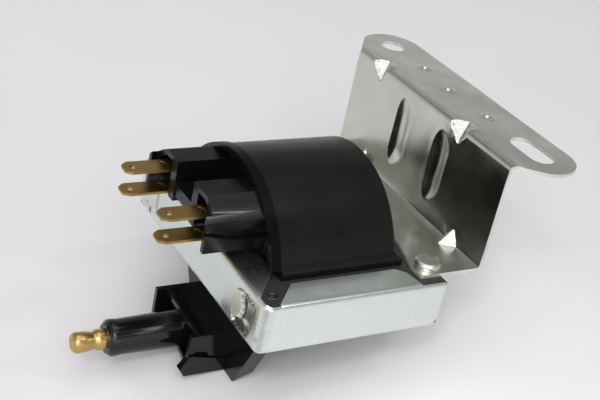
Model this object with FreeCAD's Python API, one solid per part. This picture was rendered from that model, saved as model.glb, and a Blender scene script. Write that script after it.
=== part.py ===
"""Ignition coil: a potted coil in a round black case, clamped in a plated steel core frame,
with two hooded blade connectors, a high-tension tower and a riveted sheet-metal bracket.

The parts are drawn in the coil's own axes: X runs along the coil from the connectors to the
bracket, Y across the core, Z up, and zero is on the coil's axis at the outer face of the core
frame. Everything is then moved so that the round mounting hole of the bracket, at the top face
of its flange, is the origin. Lengths are in millimetres.
"""
import FreeCAD, Part
import os

V = FreeCAD.Vector

# Core frame and laminations
FRAME_X = 59.5
FRAME_HALF_Y = 42.4
FRAME_HALF_Z = 8.1
SHEET = 1.0
FRAME_CORNER_R = 3.0
LIP_Y = 9.2
LIP_X = 9.6
LIP_END_X = 51.5
WALL_END_R = 4.5
YOKE_X = 11.0
YOKE_I_X = 50.3
STACK_X1 = 60.3
LEG_INNER_Y = 30.4
CENTRE_LEG_HALF_Y = 9.0
GAP_SPACER = 0.8
STACK_HALF_Z = FRAME_HALF_Z - SHEET
STACK_HALF_Y = FRAME_HALF_Y - SHEET
STACK_PIN_X = 5.2
STACK_PIN_Y = 36.0
STACK_PIN_R = 1.5

# Round case
CASE_R = 30.0
CASE_WALL = 1.8
CASE_X0 = 11.3
CASE_X1 = 49.8
PLINTH_HALF_Y = 30.5
PLINTH_X1 = 51.2
PLINTH_Z = 9.0
FLARE_Y = 28.2
FLARE_Z = 10.3

# Windings and bobbins, all round the centre leg
LEG_CLEARANCE = 0.3
PRIMARY_TUBE_R = 13.0
PRIMARY_R = 16.8
WRAP_R = 17.5
SECONDARY_TUBE_R0 = 18.0
SECONDARY_TUBE_R1 = 19.3
SECONDARY_R = 25.2
SECONDARY_RIB_R = 26.0
WIND_X0 = 17.6
WIND_X1 = 47.4
SECTIONS = 7
RIB = 1.0

# Connector cover
HOOD_R = 29.3
HOOD_INNER_Y = 5.6
HOOD_OUTER_Y = 20.1
HOOD_TOP_Z = 26.1
HOOD_BOTTOM_Z = 11.8
HOOD_INNER_Z0 = 13.4
HOOD_FRONT_X = -9.0
HOOD_ROOF_X = -7.0
HOOD_BACK_X = 0.0
HOOD_WALL = 1.6
HOOD_INNER_WALL = 3.2
WEB_X = -6.5
WEB_Z0 = 15.2
WEB_Z1 = 18.9
COVER_X1 = 14.3
CAP_X0 = 8.2
CAP_R = 30.5
CAP_WALL = 1.6
GROOVE_DEPTH = 1.2
GROOVE_Z0 = 15.4
GROOVE_Z1 = 18.3

# Blade terminals, 6.3 mm tabs
BLADE_WIDTH = 6.3
BLADE_THICK = 0.8
BLADE_TIP_X = -20.0
BLADE_Y = 12.9
BLADE_UPPER_Z = 20.9
BLADE_LOWER_Z = 13.9
BLADE_HOLE_R = 0.9
BUS_THICK = 0.8
LEAD_R = 0.5
LEAD_Y = 6.0
LEAD_HIGH_Z = 14.9
HT_LEAD_Z = -22.6

# High-tension outlet
HT_Z = -28.1
HT_BLOCK_X0 = -3.6
HT_BLOCK_HALF_Y = 13.4
HT_BLOCK_Z0 = -35.2
HT_BLOCK_Z1 = -21.9
HT_WALL = 1.5
HT_ROOF_X = -0.8
HT_POCKET_X = 3.0
PLATE_X0 = 8.9
PLATE_TOP_Z = -9.2
FOOT_X1 = 14.0
FOOT_TOP_Y = -32.0
FOOT_BOTTOM_Y = -20.0
FOOT_BACK_Z = -31.1
SKIRT_X0 = 11.0
SKIRT_X1 = 12.8
SKIRT_TOP_Y = 28.6
SKIRT_BOTTOM_Y = 14.0
TOWER_TIP_X = -24.4
TOWER_TIP_R = 5.3
TOWER_ROOT_R = 5.9
TOWER_LIP_R = 5.75
INSERT_R = 3.0
INSERT_BORE_R = 2.0
TERMINAL_R = 3.1
TERMINAL_WAIST_R = 2.45
TERMINAL_TIP_X = -34.3

# Mounting bracket
STEEL = 1.0
BASE_X0 = 53.0
BASE_MID_X0 = 56.5
BASE_FAR_Y = 41.2
WALL_X = 74.0
WALL_NEAR_Y = -38.2
WALL_FAR_Y = 43.9
FLANGE_TOP_Z = 42.3
FLANGE_X1 = 98.8
BEND_R = 0.7
EAR_R = 10.5
HOLE_R = 4.1
HOLE_X = 88.3
HOLE_Y = 45.6
SLOT_Y0 = -34.5
SLOT_Y1 = -26.2
RIVET_X = 58.2
RIVET_Y = 33.5
RIVET_R = 1.9
RIVET_HEAD_R = 4.0
RIVET_HEAD_H = 2.0
RIVET_FOOT_H = 1.0
RIB_WIDTH = 5.4
RIB_DEPTH = 1.1
DART_SIZE = 6.6
DART_HALF_Y = 4.6

ORIGIN = V(HOLE_X, HOLE_Y, FLANGE_TOP_Z)


def box(x0, x1, y0, y1, z0, z1):
    """Box between two corners."""
    return Part.makeBox(x1 - x0, y1 - y0, z1 - z0, V(x0, y0, z0))


def rod(radius, x0, x1, y=0.0, z=0.0):
    """Cylinder along X."""
    return Part.makeCylinder(radius, x1 - x0, V(x0, y, z), V(1, 0, 0))


def post(radius, x, y, z0, z1):
    """Cylinder along Z."""
    return Part.makeCylinder(radius, z1 - z0, V(x, y, z0), V(0, 0, 1))


def ring(outer, inner, x0, x1):
    """Tube along the coil's axis."""
    return rod(outer, x0, x1).cut(rod(inner, x0 - 1, x1 + 1))


def prism(points, direction):
    """Straight extrusion of a flat polygon."""
    outline = Part.makePolygon(points + [points[0]])
    return Part.Face(outline).extrude(direction)


def stadium(x, y0, y1, radius, z0, z1):
    """Slot shape along Y: two round ends joined by a straight middle."""
    middle = box(x - radius, x + radius, y0, y1, z0, z1)
    return post(radius, x, y0, z0, z1).fuse([middle, post(radius, x, y1, z0, z1)])


def mirrored(shape):
    """The shape's twin on the other side of the coil's axis, in Y."""
    return shape.mirror(V(0, 0, 0), V(0, 1, 0))


def flipped(shape):
    """The shape's twin on the other face of the core, in Z."""
    return shape.mirror(V(0, 0, 0), V(0, 0, 1))


def tetrahedron(a, b, c, d):
    """Solid with four corners."""
    corners = [(a, b, c), (a, b, d), (a, c, d), (b, c, d)]
    faces = [Part.Face(Part.makePolygon(list(face) + [face[0]])) for face in corners]
    return Part.Solid(Part.Shell(faces))


def blade_positions():
    """Name, Y and Z of each blade terminal."""
    for side, y in (("far", BLADE_Y), ("near", -BLADE_Y)):
        yield "blade_" + side + "_upper", y, BLADE_UPPER_Z
        yield "blade_" + side + "_lower", y, BLADE_LOWER_Z


def bent_wire(points, radius):
    """Round wire through a list of corners, with a ball at each corner."""
    pieces = []
    for a, b in zip(points, points[1:]):
        pieces.append(Part.makeCylinder(radius, a.distanceToPoint(b), a, b - a))
    pieces += [Part.makeSphere(radius, p) for p in points[1:-1]]
    return pieces[0].multiFuse(pieces[1:]).removeSplitter() if len(pieces) > 1 else pieces[0]


# ---- core ---------------------------------------------------------------------------------

def lip_outline_near():
    """Top lip of the near wall, cut on a slant at the left corner and left open at the right."""
    inner = -FRAME_HALF_Y + LIP_Y
    return [V(5.2, -FRAME_HALF_Y, 0), V(12.4, inner, 0), V(LIP_END_X, inner, 0),
            V(LIP_END_X, -FRAME_HALF_Y, 0)]


def lip_outline_left():
    """Top lip of the left wall, cut on a slant at both corners."""
    return [V(0, -36.2, 0), V(LIP_X, -26.6, 0), V(LIP_X, 26.6, 0), V(0, 36.2, 0)]


def core_shroud():
    """Bent steel channel round the left, near and far sides of the laminations."""
    outer = box(0, FRAME_X, -FRAME_HALF_Y, FRAME_HALF_Y, -FRAME_HALF_Z, FRAME_HALF_Z)
    left_edges = [e for e in outer.Edges
                  if abs(e.CenterOfMass.x) < 0.01 and abs(e.CenterOfMass.z) < 0.01]
    outer = outer.makeFillet(FRAME_CORNER_R, left_edges)
    inner = box(SHEET, FRAME_X + 1, -STACK_HALF_Y, STACK_HALF_Y, -20, 20)
    inner_edges = [e for e in inner.Edges
                   if abs(e.CenterOfMass.x - SHEET) < 0.01 and abs(e.CenterOfMass.z) < 0.01]
    inner = inner.makeFillet(FRAME_CORNER_R - SHEET, inner_edges)
    walls = outer.cut(inner)
    end_edges = [e for e in walls.Edges
                 if abs(e.CenterOfMass.x - FRAME_X) < 0.01 and e.CenterOfMass.z < -FRAME_HALF_Z + 0.1]
    walls = walls.makeFillet(WALL_END_R, end_edges)
    lift = V(0, 0, SHEET)
    lips = []
    for outline in (lip_outline_near(), lip_outline_left()):
        raised = [p + V(0, 0, STACK_HALF_Z) for p in outline]
        lips.append(prism(raised, lift).common(outer))
    lips.append(mirrored(lips[0]))
    lips += [flipped(lip) for lip in lips]
    return walls.fuse(lips).removeSplitter()


def stack_window():
    """Window in the laminations that the coil passes through, with the centre leg left out."""
    window = box(YOKE_X, YOKE_I_X, -LEG_INNER_Y, LEG_INNER_Y, -20, 20)
    leg = box(YOKE_X - 1, YOKE_I_X - GAP_SPACER, -CENTRE_LEG_HALF_Y, CENTRE_LEG_HALF_Y, -20, 20)
    return window.cut(leg)


def core_e_stack():
    """E-shaped lamination stack: left yoke, two outer legs and the centre leg."""
    stack = box(SHEET, YOKE_I_X, -STACK_HALF_Y, STACK_HALF_Y, -STACK_HALF_Z, STACK_HALF_Z)
    edges = [e for e in stack.Edges
             if abs(e.CenterOfMass.x - SHEET) < 0.01 and abs(e.CenterOfMass.z) < 0.01]
    stack = stack.makeFillet(FRAME_CORNER_R - SHEET, edges).cut(stack_window())
    pins = [post(STACK_PIN_R, STACK_PIN_X, side * STACK_PIN_Y, -20, 20) for side in (-1, 1)]
    return stack.cut(pins)


def core_i_stack():
    """Straight lamination stack that closes the E at the bracket end."""
    stack = box(YOKE_I_X, STACK_X1, -STACK_HALF_Y, STACK_HALF_Y, -STACK_HALF_Z, STACK_HALF_Z)
    holes = [post(RIVET_R, RIVET_X, side * RIVET_Y, -20, 20) for side in (-1, 1)]
    return stack.cut(holes)


def core_gap_spacer():
    """Insulating shim in the magnetic gap at the end of the centre leg."""
    return box(YOKE_I_X - GAP_SPACER, YOKE_I_X, -CENTRE_LEG_HALF_Y, CENTRE_LEG_HALF_Y,
               -STACK_HALF_Z, STACK_HALF_Z)


def stack_pins():
    """Two clinched pins through the left corners of the laminations."""
    pins = []
    for side in (-1, 1):
        shank = post(STACK_PIN_R, STACK_PIN_X, side * STACK_PIN_Y, -STACK_HALF_Z, STACK_HALF_Z)
        head = post(STACK_PIN_R + 0.7, STACK_PIN_X, side * STACK_PIN_Y, STACK_HALF_Z, STACK_HALF_Z + 0.3)
        pins.append(shank.fuse([head, flipped(head)]).removeSplitter())
    return Part.makeCompound(pins)


# ---- case and windings --------------------------------------------------------------------

def leg_tunnel(x0, x1):
    """Rectangular way through a bobbin or wall for the centre leg."""
    half_y = CENTRE_LEG_HALF_Y + LEG_CLEARANCE
    half_z = STACK_HALF_Z + LEG_CLEARANCE
    return box(x0, x1, -half_y, half_y, -half_z, half_z)


def plinth():
    """Flat foot of the case on the upper face of the laminations, with a flare up to the round wall."""
    foot = box(CASE_X0, PLINTH_X1, -PLINTH_HALF_Y, PLINTH_HALF_Y, STACK_HALF_Z, PLINTH_Z)
    section = [V(CASE_X0, -FLARE_Y, FLARE_Z), V(CASE_X0, -PLINTH_HALF_Y, PLINTH_Z),
               V(CASE_X0, PLINTH_HALF_Y, PLINTH_Z), V(CASE_X0, FLARE_Y, FLARE_Z)]
    flare = prism(section, V(CASE_X1 - CASE_X0, 0, 0))
    return foot.fuse(flare).cut(rod(CASE_R - CASE_WALL, CASE_X0 - 1, CASE_X1))


def coil_case():
    """Round cup open towards the connectors, with a foot on each face of the core."""
    cup = rod(CASE_R, CASE_X0, CASE_X1)
    edges = [e for e in cup.Edges if abs(e.CenterOfMass.x - CASE_X1) < 0.01]
    cup = cup.makeFillet(0.8, edges)
    cup = cup.cut(rod(CASE_R - CASE_WALL, CASE_X0 - 1, CASE_X1 - CASE_WALL))
    cup = cup.cut(leg_tunnel(CASE_X1 - 5, CASE_X1 + 1))
    foot = plinth()
    return cup.fuse([foot, flipped(foot)]).removeSplitter()


def primary_bobbin():
    """Moulded tube on the centre leg with two flanges that hold the primary winding."""
    tube = rod(PRIMARY_TUBE_R, CASE_X0 + 0.1, CASE_X1 - CASE_WALL)
    flanges = [rod(WRAP_R, x, x + RIB) for x in (WIND_X0, WIND_X1 - RIB)]
    bobbin = tube.fuse(flanges).cut(leg_tunnel(0, 60))
    return bobbin.cut([primary_lead_start(), primary_lead_finish()]).removeSplitter()


def primary_winding():
    """Layers of thick enamelled wire, as one ring."""
    return ring(PRIMARY_R, PRIMARY_TUBE_R, WIND_X0 + RIB, WIND_X1 - RIB)


def primary_wrap():
    """Insulating paper wrapped over the primary winding."""
    return ring(WRAP_R, PRIMARY_R, WIND_X0 + RIB, WIND_X1 - RIB)


def section_pitch():
    """Distance from one rib of the secondary bobbin to the next."""
    return (WIND_X1 - WIND_X0 - RIB) / SECTIONS


def secondary_bobbin():
    """Ribbed tube that splits the secondary winding into sections."""
    tube = rod(SECONDARY_TUBE_R1, WIND_X0, WIND_X1)
    ribs = []
    for i in range(SECTIONS + 1):
        x = WIND_X0 + i * section_pitch()
        ribs.append(rod(SECONDARY_RIB_R, x, x + RIB))
    bobbin = tube.fuse(ribs).cut(rod(SECONDARY_TUBE_R0, 0, 60))
    return bobbin.cut(ht_lead(LEAD_R)).removeSplitter()


def secondary_winding():
    """Sections of fine enamelled wire, one ring in each space of the bobbin."""
    rings = []
    for i in range(SECTIONS):
        x = WIND_X0 + RIB + i * section_pitch()
        rings.append(ring(SECONDARY_R, SECONDARY_TUBE_R1, x, x + section_pitch() - RIB))
    return Part.makeCompound(rings)


def epoxy_potting():
    """Cast resin round the secondary and in front of both windings, with the leads through it."""
    sleeve = ring(CASE_R - CASE_WALL, SECONDARY_RIB_R, WIND_X0, CASE_X1 - CASE_WALL)
    front = ring(CASE_R - CASE_WALL, PRIMARY_TUBE_R, COVER_X1 + BUS_THICK, WIND_X0)
    resin = sleeve.fuse(front)
    return resin.cut([primary_lead_start(), primary_lead_finish(), ht_lead(LEAD_R)]).removeSplitter()


# ---- connectors ---------------------------------------------------------------------------

def hood_walls():
    """Far connector: roof and two side walls round its blades, open at the front and below."""
    block = box(HOOD_FRONT_X, CASE_X0 + 1, HOOD_INNER_Y, HOOD_OUTER_Y, HOOD_BOTTOM_Z, HOOD_TOP_Z)
    block = block.common(rod(HOOD_R, HOOD_FRONT_X, CASE_X0 + 1))
    cavity = box(HOOD_FRONT_X - 1, HOOD_BACK_X, HOOD_INNER_Y + HOOD_INNER_WALL,
                 HOOD_OUTER_Y - HOOD_WALL, HOOD_BOTTOM_Z - 1, HOOD_TOP_Z + 1)
    cavity = cavity.common(rod(HOOD_R - HOOD_WALL, HOOD_FRONT_X - 1, HOOD_BACK_X))
    roof_limit = box(HOOD_FRONT_X - 1, HOOD_BACK_X, 0, 30, 0, HOOD_TOP_Z - HOOD_WALL)
    roof_notch = box(HOOD_FRONT_X - 1, HOOD_ROOF_X, HOOD_INNER_Y - 1, HOOD_OUTER_Y - HOOD_WALL,
                     HOOD_BOTTOM_Z - 1, 40)
    under_inner = box(HOOD_FRONT_X - 1, HOOD_BACK_X, HOOD_INNER_Y - 1, HOOD_INNER_Y + HOOD_INNER_WALL,
                      HOOD_BOTTOM_Z - 1, HOOD_INNER_Z0)
    hood = block.cut([cavity.common(roof_limit), roof_notch, under_inner])
    return hood.cut(hood_groove())


def hood_groove():
    """Latch groove in the outer side of the far hood, with a ramp at its front."""
    y = HOOD_OUTER_Y - GROOVE_DEPTH
    outline = [V(HOOD_FRONT_X - 1, y, GROOVE_Z1 - 0.6), V(-0.6, y, GROOVE_Z0), V(CASE_X0, y, GROOVE_Z0),
               V(CASE_X0, y, GROOVE_Z1), V(HOOD_FRONT_X - 1, y, GROOVE_Z1)]
    return prism(outline, V(0, GROOVE_DEPTH + 1, 0))


def connector_cover():
    """One moulding: closing plate for the upper half of the case, two hoods and a web between."""
    above_core = box(0, 20, -35, 35, PLINTH_Z + 0.2, 35)
    plate = rod(CASE_R - CASE_WALL, CASE_X0 - 0.8, COVER_X1)
    rim = ring(CAP_R, CAP_R - CAP_WALL, CAP_X0, CASE_X0).fuse(ring(CAP_R, 25, CAP_X0 + 1.6, CASE_X0))
    plate = plate.fuse(rim).common(above_core)
    far_hood = hood_walls()
    web = box(WEB_X, COVER_X1, -HOOD_INNER_Y, HOOD_INNER_Y, WEB_Z0, WEB_Z1)
    back = box(HOOD_BACK_X, COVER_X1, -HOOD_INNER_Y, HOOD_INNER_Y, HOOD_BOTTOM_Z + 0.8, WEB_Z1)
    cover = plate.fuse([far_hood, mirrored(far_hood), web, back])
    cover = cover.cut(rod(PRIMARY_TUBE_R, CASE_X0, 20))
    slots = [blade_blank(y, z) for _, y, z in blade_positions()]
    return cover.cut(slots).removeSplitter()


def blade_blank(y, z):
    """Flat tab before its hole is punched, chamfered at the tip."""
    half = BLADE_WIDTH / 2
    chamfer_x = 2.0
    chamfer_y = 1.4
    tip = BLADE_TIP_X
    low = z - BLADE_THICK / 2
    outline = [V(tip, y - half + chamfer_y, low), V(tip + chamfer_x, y - half, low),
               V(COVER_X1, y - half, low), V(COVER_X1, y + half, low),
               V(tip + chamfer_x, y + half, low), V(tip, y + half - chamfer_y, low)]
    return prism(outline, V(0, 0, BLADE_THICK))


def blade(y, z):
    """Blade terminal with its locking hole near the tip."""
    hole = post(BLADE_HOLE_R, BLADE_TIP_X + 3.2, y, z - 2, z + 2)
    return blade_blank(y, z).cut(hole)


def terminal_bus(z):
    """Brass strip behind the cover that joins the two blades of one level."""
    half_y = BLADE_Y + BLADE_WIDTH / 2
    half_z = 0.75
    return box(COVER_X1, COVER_X1 + BUS_THICK, -half_y, half_y, z - half_z, z + half_z)


def primary_lead_start():
    """Wire end from the upper bus strip, bent down to the primary winding."""
    bend_x = 16.4
    points = [V(COVER_X1 + BUS_THICK, -LEAD_Y, BLADE_UPPER_Z), V(bend_x, -LEAD_Y, BLADE_UPPER_Z),
              V(bend_x, -LEAD_Y, LEAD_HIGH_Z), V(WIND_X0 + RIB, -LEAD_Y, LEAD_HIGH_Z)]
    return bent_wire(points, LEAD_R)


def primary_lead_finish():
    """Wire end from the lower bus strip straight into the primary winding."""
    points = [V(COVER_X1 + BUS_THICK, LEAD_Y, BLADE_LOWER_Z), V(WIND_X0 + RIB, LEAD_Y, BLADE_LOWER_Z)]
    return bent_wire(points, LEAD_R)


# ---- high-tension outlet ------------------------------------------------------------------

def yz_outline(x, points):
    """Closed outline in the plane across X."""
    moved = [V(x, y, z) for y, z in points]
    return Part.makePolygon(moved + [moved[0]])


def end_plate():
    """Lower closing plate: a deep foot on the near side and a thinner skirt on the far side."""
    top = [(FOOT_TOP_Y, PLATE_TOP_Z), (0, PLATE_TOP_Z)]
    front = top + [(0, HT_BLOCK_Z0), (FOOT_BOTTOM_Y, HT_BLOCK_Z0)]
    back = top + [(0, FOOT_BACK_Z), (FOOT_BOTTOM_Y - 2.0, FOOT_BACK_Z)]
    foot = Part.makeLoft([yz_outline(PLATE_X0, front), yz_outline(FOOT_X1, back)], True, True)
    side = [(0, PLATE_TOP_Z), (SKIRT_TOP_Y, PLATE_TOP_Z), (SKIRT_BOTTOM_Y, HT_BLOCK_Z0),
            (0, HT_BLOCK_Z0)]
    skirt = Part.Face(yz_outline(SKIRT_X0, side)).extrude(V(SKIRT_X1 - SKIRT_X0, 0, 0))
    bridge = box(PLATE_X0, SKIRT_X1, 0, HT_BLOCK_HALF_Y, HT_BLOCK_Z0, HT_BLOCK_Z1)
    return foot.fuse([skirt, bridge])


def ht_lead(radius):
    """Way of the high-tension lead: in along X, up towards the winding, then in again."""
    turn_x = 6.0
    points = [V(-2.0, 0, HT_Z), V(turn_x, 0, HT_Z), V(turn_x, 0, HT_LEAD_Z), V(WIND_X0 + RIB, 0, HT_LEAD_Z)]
    return bent_wire(points, radius)


def block_rail():
    """Thicker lower half of the block's near wall, which reaches further out at its pointed end."""
    outline = [V(-3.2, 0, -28.2), V(-4.8, 0, -31.0), V(-6.0, 0, -32.6), V(-4.3, 0, HT_BLOCK_Z0),
               V(PLATE_X0, 0, HT_BLOCK_Z0), V(PLATE_X0, 0, -30.9), V(3.5, 0, -29.9)]
    outline = [p - V(0, HT_BLOCK_HALF_Y + 0.7, 0) for p in outline]
    return prism(outline, V(0, HT_WALL + 0.7, 0))


def block_sink():
    """Shallow hollow in the near wall just above the rail."""
    outline = [V(-2.7, 0, -28.4), V(-0.9, 0, -27.2), V(2.5, 0, -28.0), V(3.6, 0, -30.2)]
    outline = [p - V(0, HT_BLOCK_HALF_Y + 1, 0) for p in outline]
    return prism(outline, V(0, 1.8, 0))


def ht_housing():
    """One moulding: lower closing plate, hollow block and the round tower that leaves it."""
    plate = end_plate().cut(rod(CASE_R, CASE_X0, 20))
    below_core = box(0, 20, -30, 30, -30, PLATE_TOP_Z)
    spigot = rod(CASE_R - CASE_WALL, CASE_X0, COVER_X1).common(below_core)
    block = box(HT_BLOCK_X0, PLATE_X0, -HT_BLOCK_HALF_Y, HT_BLOCK_HALF_Y, HT_BLOCK_Z0, HT_BLOCK_Z1)
    half = HT_BLOCK_HALF_Y - HT_WALL
    pocket = box(HT_BLOCK_X0 - 1, HT_POCKET_X, -half, half, HT_BLOCK_Z0 + HT_WALL,
                 HT_BLOCK_Z1 - HT_WALL)
    notch = box(HT_BLOCK_X0 - 1, HT_ROOF_X, -half, half, HT_Z, HT_BLOCK_Z1 + 1)
    floor_edge = [V(HT_BLOCK_X0 - 1, half, HT_BLOCK_Z0 - 1), V(-0.4, half, HT_BLOCK_Z0 - 1),
                  V(-0.4, -0.5, HT_BLOCK_Z0 - 1), V(-1.8, -8.2, HT_BLOCK_Z0 - 1),
                  V(-3.0, -half, HT_BLOCK_Z0 - 1), V(HT_BLOCK_X0 - 1, -half, HT_BLOCK_Z0 - 1)]
    floor_cut = prism(floor_edge, V(0, 0, 4))
    lip_x = TOWER_TIP_X + 1.4
    along = V(1, 0, 0)
    tower = Part.makeCone(TOWER_TIP_R, TOWER_ROOT_R, PLATE_X0 - lip_x, V(lip_x, 0, HT_Z), along)
    lip = rod(TOWER_LIP_R, lip_x, lip_x + 1.8, 0, HT_Z)
    nose = Part.makeCone(TOWER_LIP_R - 1.4, TOWER_LIP_R, 1.4, V(TOWER_TIP_X, 0, HT_Z), along)
    body = plate.fuse([spigot, block]).cut([pocket, notch, floor_cut, block_sink()])
    body = body.fuse([block_rail(), tower, lip, nose])
    body = body.cut([rod(INSERT_R, TOWER_TIP_X - 1, -2.0, 0, HT_Z), rod(PRIMARY_TUBE_R, CASE_X0, 20)])
    return body.cut(ht_lead(LEAD_R + 0.1)).removeSplitter()


def ht_insert():
    """Brass sleeve moulded into the tower, with the lead at its inner end."""
    sleeve = rod(INSERT_R, TOWER_TIP_X, -2.0, 0, HT_Z)
    return sleeve.cut(rod(INSERT_BORE_R, TOWER_TIP_X - 1, -9.0, 0, HT_Z))


def ht_terminal():
    """Brass plug terminal: shank in the sleeve, collar, waist and rounded head."""
    length = TOWER_TIP_X - TERMINAL_TIP_X
    profile = [(0.0, 0.0), (TERMINAL_R - 0.9, 0.0), (TERMINAL_R, 0.9), (TERMINAL_R, 5.4),
               (TERMINAL_WAIST_R, 6.1), (TERMINAL_WAIST_R, 7.0), (TERMINAL_R, 7.7),
               (TERMINAL_R, length), (INSERT_BORE_R, length), (INSERT_BORE_R, length + 13.0),
               (0.0, length + 13.0)]
    points = [V(TERMINAL_TIP_X + along, 0, HT_Z + radius) for radius, along in profile]
    outline = Part.Face(Part.makePolygon(points + [points[0]]))
    return outline.revolve(V(0, 0, HT_Z), V(1, 0, 0), 360)


# ---- bracket ------------------------------------------------------------------------------

def bent_sheet():
    """Z-shaped strip before its outline is trimmed: base, upright wall and top flange."""
    base_z0 = STACK_HALF_Z
    outer = BEND_R + STEEL
    y0 = WALL_NEAR_Y - 30
    width = WALL_FAR_Y - WALL_NEAR_Y + 60
    base = box(BASE_X0 - 5, WALL_X - BEND_R, y0, y0 + width, base_z0, base_z0 + STEEL)
    wall = box(WALL_X, WALL_X + STEEL, y0, y0 + width, base_z0 + outer, FLANGE_TOP_Z - outer)
    flange = box(WALL_X + outer, FLANGE_X1 + 5, y0, y0 + width, FLANGE_TOP_Z - STEEL, FLANGE_TOP_Z)
    low = quarter_bend(WALL_X - BEND_R, base_z0 + outer, 1, -1, y0, width)
    high = quarter_bend(WALL_X + outer, FLANGE_TOP_Z - outer, -1, 1, y0, width)
    return base.fuse([wall, flange, low, high]).removeSplitter()


def quarter_bend(x, z, side_x, side_z, y0, width):
    """Quarter of a tube along Y: the rounded corner where the sheet is folded."""
    outer = Part.makeCylinder(BEND_R + STEEL, width, V(x, y0, z), V(0, 1, 0))
    inner = Part.makeCylinder(BEND_R, width, V(x, y0, z), V(0, 1, 0))
    reach = BEND_R + STEEL
    x0, x1 = sorted((x, x + side_x * reach))
    z0, z1 = sorted((z, z + side_z * reach))
    return outer.cut(inner).common(box(x0, x1, y0, y0 + width, z0, z1))


def base_outline():
    """Plan of the base: ears at the rivets, cut back between them, narrower beside the frame."""
    far_step_x = STACK_X1 + 0.5
    top = 20.0
    points = [V(BASE_X0, WALL_NEAR_Y, 0), V(WALL_X + 2, WALL_NEAR_Y, 0), V(WALL_X + 2, WALL_FAR_Y, 0),
              V(far_step_x + 2, WALL_FAR_Y, 0), V(far_step_x, BASE_FAR_Y, 0), V(BASE_X0, BASE_FAR_Y, 0),
              V(BASE_X0, 33, 0), V(BASE_MID_X0, 20, 0), V(BASE_MID_X0, -20, 0), V(BASE_X0, -33, 0)]
    return prism(points, V(0, 0, top))


def flange_outline():
    """Plan of the wall and flange: an ear with a round end at each side."""
    z0 = 10.0
    z1 = FLANGE_TOP_Z + 5
    strip = box(WALL_X - 1, HOLE_X, WALL_NEAR_Y, WALL_FAR_Y, z0, z1)
    outer_strip = box(HOLE_X - 1, FLANGE_X1, SLOT_Y0, HOLE_Y, z0, z1)
    ears = [post(EAR_R, HOLE_X, y, z0, z1) for y in (SLOT_Y0, HOLE_Y)]
    webs = []
    for y, edge in ((SLOT_Y0, WALL_NEAR_Y), (HOLE_Y, WALL_FAR_Y)):
        away = -1 if y < 0 else 1
        start_x = WALL_X + 3 if y < 0 else WALL_X
        corner = [V(start_x, edge, z0), V(HOLE_X - EAR_R * 0.62, y + away * EAR_R * 0.78, z0),
                  V(HOLE_X, y, z0), V(HOLE_X, edge - away * 6, z0), V(start_x, edge - away * 6, z0)]
        webs.append(prism(corner, V(0, 0, z1 - z0)))
    return strip.fuse([outer_strip] + ears + webs).removeSplitter()


def wall_rib(y, z0, z1):
    """Upright oblong rib pressed into the wall: hollow at the front, bulging at the back."""
    radius = RIB_WIDTH / 2
    shapes = []
    x_back = WALL_X + RIB_DEPTH
    for r, x0, x1 in ((radius, WALL_X - 1, x_back), (radius + STEEL, WALL_X, x_back + STEEL)):
        ends = [rod(r, x0, x1, y, z) for z in (z0, z1)]
        shapes.append(ends[0].fuse([ends[1], box(x0, x1, y - r, y + r, z0, z1)]).removeSplitter())
    return shapes


def top_dart(y):
    """Stiffening dart across the upper fold: the hollow outside and the fill inside."""
    shapes = []
    steps = ((-0.2, DART_SIZE, DART_HALF_Y), (STEEL - 0.1, DART_SIZE + 3.0, DART_HALF_Y + 0.8))
    for drop, size, half in steps:
        x = WALL_X + drop
        z = FLANGE_TOP_Z - drop
        corners = [V(x, y - half, z), V(x, y + half, z), V(x, y, z - size), V(x + size, y, z)]
        shapes.append(tetrahedron(*corners))
    return shapes


def base_dart(y):
    """Stiffening dart in the lower fold, raised on the side of the coil."""
    size = 5.6
    corner_z = STACK_HALF_Z + STEEL - 0.3
    corner_x = WALL_X + 0.3
    return tetrahedron(V(corner_x, y - 3.4, corner_z), V(corner_x, y + 3.4, corner_z),
                       V(corner_x, y, corner_z + size), V(corner_x - size, y, corner_z))


def mounting_bracket():
    """Folded sheet: base riveted to the core, ribbed wall and flange with a hole and a slot."""
    sheet = bent_sheet()
    low = box(0, WALL_X + 5, -90, 90, 0, 12.0)
    high = box(0, FLANGE_X1 + 20, -90, 90, 12.0, 60)
    sheet = sheet.common(base_outline()).common(low).fuse(sheet.common(flange_outline()).common(high))
    for y, z0, z1 in ((13.2, 19.2, 34.8), (-7.8, 17.8, 33.4)):
        hollow, bulge = wall_rib(y, z0, z1)
        sheet = sheet.fuse(bulge).cut(hollow)
    for y in (-11.2, 31.8):
        hollow, fill = top_dart(y)
        sheet = sheet.fuse(fill).cut(hollow)
    for y in (-23.4, 28.0):
        sheet = sheet.fuse(base_dart(y))
    holes = [post(RIVET_R, RIVET_X, side * RIVET_Y, -20, 20) for side in (-1, 1)]
    holes.append(post(HOLE_R, HOLE_X, HOLE_Y, 30, 60))
    holes.append(stadium(HOLE_X, SLOT_Y0, SLOT_Y1, HOLE_R, 30, 60))
    return sheet.cut(holes).removeSplitter()


def bracket_rivets():
    """Two rivets through the bracket's base and the laminations."""
    rivets = []
    for side in (-1, 1):
        y = side * RIVET_Y
        top = STACK_HALF_Z + STEEL
        shank = post(RIVET_R, RIVET_X, y, -STACK_HALF_Z, top)
        head = post(RIVET_HEAD_R, RIVET_X, y, top, top + RIVET_HEAD_H)
        rim = [e for e in head.Edges if e.CenterOfMass.z > top + RIVET_HEAD_H - 0.01]
        head = head.makeFillet(1.1, rim)
        foot = post(RIVET_R + 0.9, RIVET_X, y, -STACK_HALF_Z - RIVET_FOOT_H, -STACK_HALF_Z)
        rivets.append(shank.fuse([head, foot]).removeSplitter())
    return Part.makeCompound(rivets)


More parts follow.
